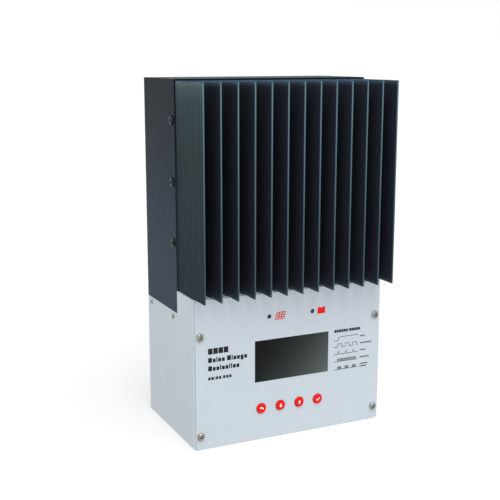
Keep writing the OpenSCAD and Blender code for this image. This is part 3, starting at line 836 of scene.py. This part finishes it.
def ribbon(points, width):
    """The outline of a line drawn through the points, its mitres kept from growing long."""
    sharpest = 0.4
    left, right = [], []
    vectors = [Vector(p) for p in points]
    for i, here in enumerate(vectors):
        before = (here - vectors[i - 1]).normalized() if i > 0 else None
        after = (vectors[i + 1] - here).normalized() if i < len(vectors) - 1 else None
        before, after = before or after, after or before
        along = (before + after).normalized()
        normal = Vector((-along.y, along.x))
        reach = width / 2 / max(normal.dot(Vector((-before.y, before.x))), sharpest)
        left.append(tuple(here + normal * reach))
        right.append(tuple(here - normal * reach))
    return left + right[::-1]


# Width, height and drop below the line of one block, in capital heights.
BLOCKS = {"A": (0.82, 1.0, 0.0), "a": (0.62, 0.74, 0.0), "l": (0.24, 1.0, 0.0), "g": (0.62, 0.74, 0.26)}


def row_of_blocks(printing, left, bottom, height, pattern, gap=0.17):
    """Plain blocks standing where a line of wording would be; a space in the pattern is a word gap."""
    word_gap = 0.35 * height
    for kind in pattern:
        if kind == " ":
            left += word_gap
            continue
        width, rise, drop = BLOCKS[kind]
        printing.bar(left, bottom - drop * height, width * height, (rise + drop) * height)
        left += (width + gap) * height


def title_block(printing):
    """Three bold rows and a light one, left of the display."""
    left = -83.3
    row_of_blocks(printing, left, 89.3, 5.4, "AAAA", 0.12)
    row_of_blocks(printing, left, 81.6, 4.5, "Aalaa Alaaga")
    row_of_blocks(printing, left, 73.8, 4.5, "Aaalaallaa")
    row_of_blocks(printing, left, 65.3, 2.7, "AAlAA AAA", 0.3)


def square_wave(left, base, right, rises, height, width):
    """A line that steps up and down again at each of the rises."""
    points = [(left, base)]
    for start in rises:
        end, top = start + width, base + height
        points += [(start, base), (start, top), (end, top), (end, base)]
    return points + [(right, base)]


def stage_chart(printing):
    """Right of the display: a heading, then five small charging curves, each with a caption block."""
    left, right, pen, pulse = 46.3, 72.6, 0.46, 3.0
    caption_left, caption_height, caption_gap, letter = 75.2, 1.2, 0.26, 1.3
    row_of_blocks(printing, left, 93.0, 2.7, "AAAAAA AAAAA", 0.12)
    printing.line([(left, 84.9), (50.6, 84.9), (51.2, 88.0), (56.0, 88.5), (right, 88.5)], pen)
    printing.line(square_wave(left, 78.5, right, (50.4, 58.6, 66.8), pulse, 4.3), pen)
    printing.line(square_wave(left, 71.4, right, (50.6, 58.8, 67.2), 2.4, 1.3), pen)
    printing.line(square_wave(left, 64.0, right, [50.4 + 1.75 * i for i in range(12)], 2.7, 0.85), pen)
    groups = [start + 1.5 * i for start in (50.6, 58.6, 66.8) for i in range(3)]
    printing.line(square_wave(left, 56.2, right, groups, 2.7, 0.7), pen)
    captions = ((86.1, 5.6), (79.0, 13.6), (72.0, 6.0), (64.9, 9.8), (58.1, 9.2), (55.6, 8.2))
    for bottom, length in captions:
        blocks = "A" * round(length / letter)
        row_of_blocks(printing, caption_left, bottom, caption_height, blocks, caption_gap)


def panel_symbol(printing):
    """A slanted solar module of three by three cells."""
    left, bottom, pen, cells = -16.4, 113.9, 0.8, 3
    cell_width, cell_height, lean = 2.9, 2.1, 0.55
    for i in range(cells + 1):
        x, z = left + i * cell_width, bottom + i * cell_height
        row_left = left + i * lean
        printing.line([(row_left, z), (row_left + cells * cell_width, z)], pen)
        printing.line([(x, bottom), (x + cells * lean, bottom + cells * cell_height)], pen)


def battery_symbol(printing):
    """A plain block with two terminals."""
    left, bottom, width, height = 27.7, 114.0, 8.2, 5.7
    terminal_width, terminal_height = 2.0, 0.9
    printing.bar(left, bottom, width, height)
    for offset in (1.0, 5.2):
        printing.bar(left + offset, bottom + height, terminal_width, terminal_height)


def panel_printing():
    black = Printing(COVER_FRONT)
    title_block(black)
    stage_chart(black)
    black.piece("panel_print_black", PRINT_BLACK, "housing_pale")
    red = Printing(COVER_FRONT)
    panel_symbol(red)
    battery_symbol(red)
    red.piece("panel_print_red", PRINT_RED, "housing_pale")


# ---------------------------------------------------------------- buttons and lamps


def arrow_down(printing, flip=1):
    """A short arrow; flip -1 makes it point up."""
    point, shoulder, tail = -1.9 * flip, -0.15 * flip, 1.8 * flip
    head_half, stem_half = 1.6, 0.48
    outline = [(0, point), (head_half, shoulder), (stem_half, shoulder), (stem_half, tail),
               (-stem_half, tail), (-stem_half, shoulder), (-head_half, shoulder)]
    printing.shape(outline[::flip])


def arrow_up(printing):
    arrow_down(printing, -1)


def arrow_back(printing):
    """A hook turning back to the left."""
    centre, outer, inner, start, end = (0.15, -0.5), 1.75, 0.85, -15, 120
    printing.shape(arc(centre, outer, start, end, 10) + arc(centre, inner, end, start, 10))
    head = [(-2.1, 0.75), (-0.35, -0.35), (-0.3, 1.95)]
    printing.shape(head)


def tick(printing):
    pen = 0.8
    printing.line([(-1.7, 0.1), (-0.5, -1.2), (1.8, 1.3)], pen)


def button(node, body, symbol):
    """A round cap with a softly rolled edge and a printed symbol."""
    lowest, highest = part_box(node)
    centre = (lowest + highest) / 2
    collar = (highest.x - lowest.x) / 2
    radius = collar - 1 * MM
    top = highest.y - lowest.y
    roll = 0.9 * MM
    edge = [(radius - roll + r, top - roll + h) for r, h in arc((0, 0), roll, 0, 90, 8)]
    stem, collar_low, collar_high = 1.9 * MM, top - 4.8 * MM, top - 3.2 * MM
    profile = [(0, 0), (stem, 0), (stem, collar_low), (collar, collar_low), (collar, collar_high),
               (radius, collar_high)] + edge + [(0, top)]
    bm = lathe(profile, 64)
    stand_forward(bm, centre.x, highest.y, centre.z)
    name, slot = node + "_cap", "button_red"
    piece = add_piece(name, mesh_from(name, bm), MATERIALS[slot], body, replaced=(node,))
    smooth(piece.data, 40)
    printing = Printing(lowest.y, origin=(centre.x, centre.z))
    symbol(printing)
    printing.piece(node + "_symbol", PRINT_WHITE, slot, body)


def buttons():
    symbols = {"back": arrow_back, "down": arrow_down, "up": arrow_up, "set": tick}
    for name, symbol in symbols.items():
        button("button_" + name, name + "_key", symbol)


def lamps():
    """Domed lamp lenses just standing out of the cover."""
    radius, length, flange_radius, flange = 2.0 * MM, 8 * MM, 2.3 * MM, 1 * MM
    rise = 1.1 * MM
    angles = [math.radians(a) for a in range(0, 90, 10)]
    dome = [(radius * math.cos(a), length - rise + rise * math.sin(a)) for a in angles]
    profile = [(0, 0), (flange_radius, 0), (flange_radius, flange), (radius, flange)] + dome
    slot = "lamp_dark"
    for number, (centre, _, highest) in enumerate(loose_parts("status_lamps")):
        bm = lathe(profile + [(0, length)])
        stand_forward(bm, centre.x, highest.y, centre.z)
        name = f"status_lamp_{number + 1}"
        mesh = mesh_from(name, bm)
        add_piece(name, mesh, MATERIALS[slot], replaced=("status_lamps",))
        smooth(mesh, 40)


# ---------------------------------------------------------------- room, light and camera


def floor():
    """A pale studio floor that curves up into a pale wall all round, glowing a little."""
    flat, bend, top = 2.2, 1.4, 2.6
    corner = [(flat + x, bend + z) for x, z in arc((0, 0), bend, -90, 0, 12)]
    profile = [(0, 0), (0.6, 0)] + corner + [(flat + bend, top)]
    mesh = mesh_from("studio_floor", lathe(profile, 96))
    mesh.flip_normals()
    mesh.shade_smooth()
    material = surface("studio_paper", shade(160, 160, 160), 0.9)
    shader = shader_of(material)
    shader.inputs["Emission Color"].default_value = (1, 1, 1, 1)
    shader.inputs["Emission Strength"].default_value = 0.6
    material.cycles.emission_sampling = "NONE"
    bump(material, noise(material, 0.002), 0.00003, 0.2)
    mesh.materials.append(material)
    new_object("studio_floor", mesh)


def add_light(name, kind, energy, spot, target):
    """A light at spot, aimed at target."""
    light = bpy.data.lights.new(name, kind)
    light.energy = energy
    lamp = new_object(name, light)
    lamp.location = spot
    lamp.rotation_euler = (Vector(target) - Vector(spot)).to_track_quat("-Z", "Y").to_euler()
    return light


def lighting():
    """A wide soft light from above and a little in front, a small one near the top, a pale room."""
    world = bpy.data.worlds.new("studio")
    bpy.context.scene.world = world
    world.use_nodes = True
    sky = world.node_tree.nodes["Background"]
    sky.inputs["Color"].default_value = (0.95, 0.975, 1.0, 1.0)
    sky.inputs["Strength"].default_value = 0.27
    overhead = add_light("overhead", "SUN", 2.2, (0.15, -0.4, 1), (0, 0, 0))
    overhead.angle = math.radians(50)
    top = add_light("top_box", "AREA", 1.6, (-0.2, -0.35, 0.75), (0, 0, 0.33))
    top.size = 0.3


def camera():
    """From the front left, a little above the middle, turned yaw from straight on."""
    spot, focal_length = (-0.3982, -0.7936, 0.3488), 68.43
    yaw, pitch, roll = math.radians(25.517), math.radians(11.488), math.radians(0.03)
    level = math.cos(pitch)
    look = Vector((math.sin(yaw) * level, math.cos(yaw) * level, -math.sin(pitch)))
    turn = look.to_track_quat("-Z", "Y") @ Quaternion((0, 0, 1), roll)
    data = bpy.data.cameras.new("camera")
    data.lens = focal_length
    data.clip_start, data.clip_end = 0.02, 40
    eye = new_object("camera", data)
    eye.location = spot
    eye.rotation_euler = turn.to_euler()
    bpy.context.scene.camera = eye
    bpy.context.scene.view_settings.view_transform = "Standard"


paint_cad_nodes()
heat_sink()
sheet_metal()
screws()
panel_printing()
buttons()
lamps()
floor()
lighting()
camera()
